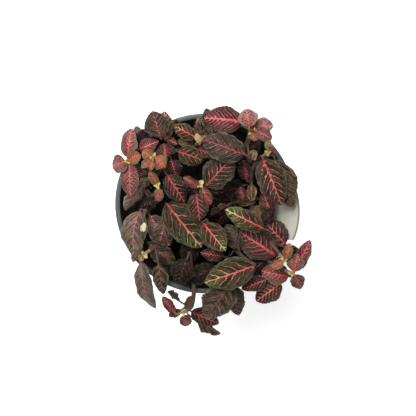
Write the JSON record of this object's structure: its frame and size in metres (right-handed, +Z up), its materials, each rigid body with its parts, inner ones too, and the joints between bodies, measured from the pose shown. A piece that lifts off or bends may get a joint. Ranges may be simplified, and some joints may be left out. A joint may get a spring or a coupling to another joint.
{
  "type": "potted nerve plant",
  "caption": "Low, spreading nerve plant with dark, red-veined leaves and reddish young tips, in a tapered round nursery pot with a blank plant tag.",
  "frame": {"origin": "middle of the pot's underside, in the plane that it stands on", "axes": "+Z up along the pot's axis; seen from above as in the picture, +X is to the right and +Y to the top"},
  "size_m": [0.13, 0.1542, 0.14],
  "materials": {
    "pot_plastic": "satin dark grey",
    "potting_soil": "matt black-brown potting mix",
    "tag_plastic": "pale grey, blank",
    "grown_leaf": "dark green with red veins, satin",
    "young_leaf": "orange-red to pink-red, satin"
  },
  "bodies": {
    "root": {"crown_centre": "young_leaf", "crown_east": "young_leaf", "crown_east_low": "young_leaf", "crown_hanging": "young_leaf", "crown_inner_north": "young_leaf", "crown_inner_west": "young_leaf", "crown_north_east": "young_leaf", "crown_north_west": "young_leaf", "crown_south_east": "young_leaf", "crown_south_west": "young_leaf", "crown_west": "young_leaf", "plant_tag": "tag_plastic", "pot": "pot_plastic", "shoot_centre": "grown_leaf", "shoot_east": "grown_leaf", "shoot_east_low": "grown_leaf", "shoot_far_west": "grown_leaf", "shoot_hanging": "grown_leaf", "shoot_inner_east": "grown_leaf", "shoot_inner_north": "grown_leaf", "shoot_inner_south": "grown_leaf", "shoot_inner_west": "grown_leaf", "shoot_mid_west": "grown_leaf", "shoot_north": "grown_leaf", "shoot_north_east": "grown_leaf", "shoot_north_west": "grown_leaf", "shoot_south": "grown_leaf", "shoot_south_east": "grown_leaf", "shoot_south_low": "grown_leaf", "shoot_south_west": "grown_leaf", "shoot_west": "grown_leaf", "soil": "potting_soil"}
  },
  "joints": []
}
